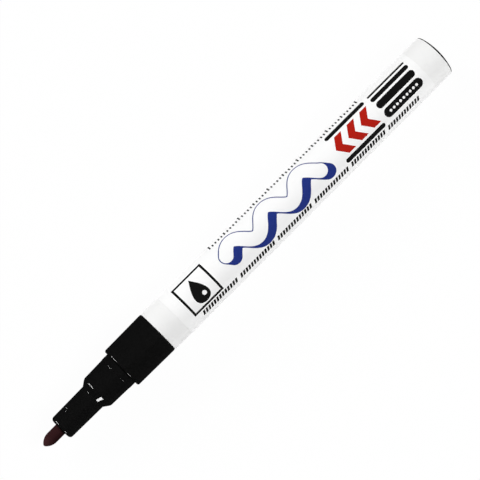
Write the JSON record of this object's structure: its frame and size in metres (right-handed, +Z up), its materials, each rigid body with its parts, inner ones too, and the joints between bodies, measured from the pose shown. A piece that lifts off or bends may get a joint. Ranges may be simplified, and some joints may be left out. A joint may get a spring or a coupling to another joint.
{
  "type": "paint marker",
  "caption": "Slim paint marker, cap off: white tube barrel in a printed film, black collar and nib holder, bullet nib that presses in to open a sprung valve, and a loose mixing ball.",
  "frame": {"origin": "on the surface that the marker lies on, under the middle of its length", "axes": "+X along the marker's axis from the nib to the tail, +Z up, with the print facing up"},
  "size_m": [0.1344, 0.012, 0.012],
  "materials": {
    "barrel_white": "white satin enamel on aluminium",
    "label_film": "white printed film, soft gloss",
    "black_plastic": "black moulded plastic, fine satin",
    "nib_fibre": "pressed fibre rod, soaked with dark paint",
    "valve_plastic": "natural moulded plastic",
    "seal_rubber": "black rubber",
    "spring_steel": "drawn stainless wire",
    "ball_steel": "polished bearing steel"
  },
  "bodies": {
    "marker_body": {"barrel_tube": "barrel_white", "tail_plug": "black_plastic", "label_film": "label_film", "front_collar": "black_plastic", "barrel_gasket": "seal_rubber", "nib_holder": "black_plastic", "valve_body": "valve_plastic", "valve_seal": "seal_rubber", "valve_spring": "spring_steel", "spring_retainer": "valve_plastic"},
    "nib_plunger": {"nib": "nib_fibre", "nib_socket": "valve_plastic", "valve_stem": "valve_plastic"},
    "mixing_ball": {"mixing_ball": "ball_steel"}
  },
  "joints": [
    {"name": "nib_press", "type": "slide", "parent": "marker_body", "child": "nib_plunger", "axis": [1, 0, 0], "range_m": [0, 0.0018], "stiffness_N_per_m": 700, "deforming": ["valve_spring"]},
    {"name": "ball_roll", "type": "slide", "parent": "marker_body", "child": "mixing_ball", "axis": [1, 0, 0], "range_m": [-0.0384, 0.0384]}
  ]
}
